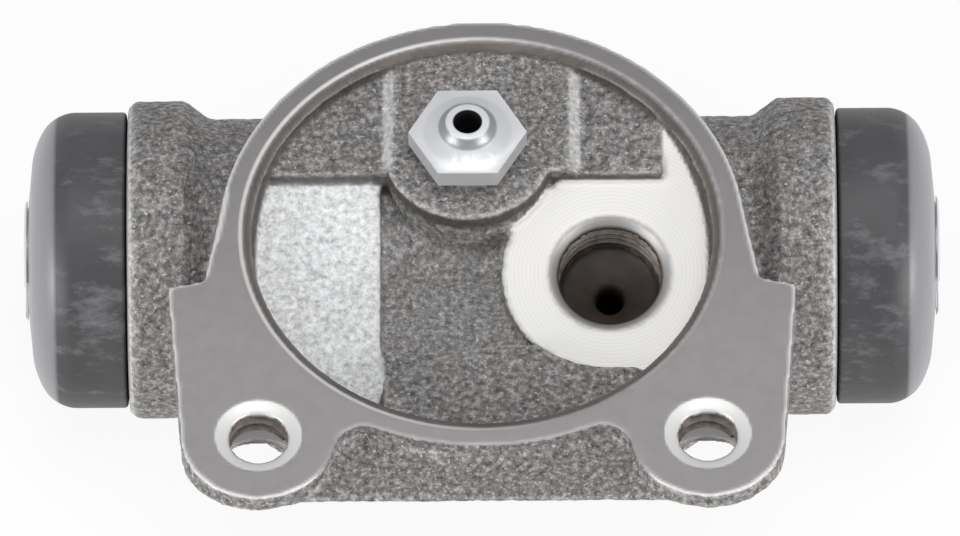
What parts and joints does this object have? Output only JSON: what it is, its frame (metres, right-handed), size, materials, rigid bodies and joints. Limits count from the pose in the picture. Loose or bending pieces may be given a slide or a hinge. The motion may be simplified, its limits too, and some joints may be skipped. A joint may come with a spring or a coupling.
{
  "type": "wheel cylinder",
  "caption": "Cast iron drum brake wheel cylinder with opposed slotted pistons, rubber dust boots, a ringed mounting flange with drilled ears, an inlet port and a bleed screw.",
  "frame": {"origin": "midway between the two fixing holes, on the machined mounting face", "axes": "+X along the barrel, +Y from the fixing holes to the barrel, +Z out of the mounting face"},
  "size_m": [0.0808, 0.0528, 0.0344],
  "materials": {
    "cast_iron": "rough cast, machined faces",
    "aluminium": "turned",
    "rubber": "matt",
    "plated_steel": "bright zinc",
    "spring_steel": "drawn"
  },
  "bodies": {
    "casting": {"body": "cast_iron", "return_spring": "spring_steel", "left_boot": "rubber", "right_boot": "rubber"},
    "left_piston": {"left_piston": "aluminium", "left_cup_seal": "rubber", "left_spring_seat": "plated_steel"},
    "right_piston": {"right_piston": "aluminium", "right_cup_seal": "rubber", "right_spring_seat": "plated_steel"},
    "bleed_screw": {"bleed_screw": "plated_steel"}
  },
  "joints": [
    {"name": "left_piston_slide", "type": "slide", "parent": "casting", "child": "left_piston", "axis": [-1, 0, 0], "range_m": [-0.002, 0.007], "deforming": ["left_boot", "return_spring"]},
    {"name": "right_piston_slide", "type": "slide", "parent": "casting", "child": "right_piston", "axis": [1, 0, 0], "range_m": [-0.002, 0.007], "deforming": ["right_boot", "return_spring"]},
    {"name": "bleed_screw_turn", "type": "hinge", "parent": "casting", "child": "bleed_screw", "pos_m": [-0.0012, 0.0309, 0], "axis": [0, 0, 1], "range_deg": [0, 270]}
  ]
}
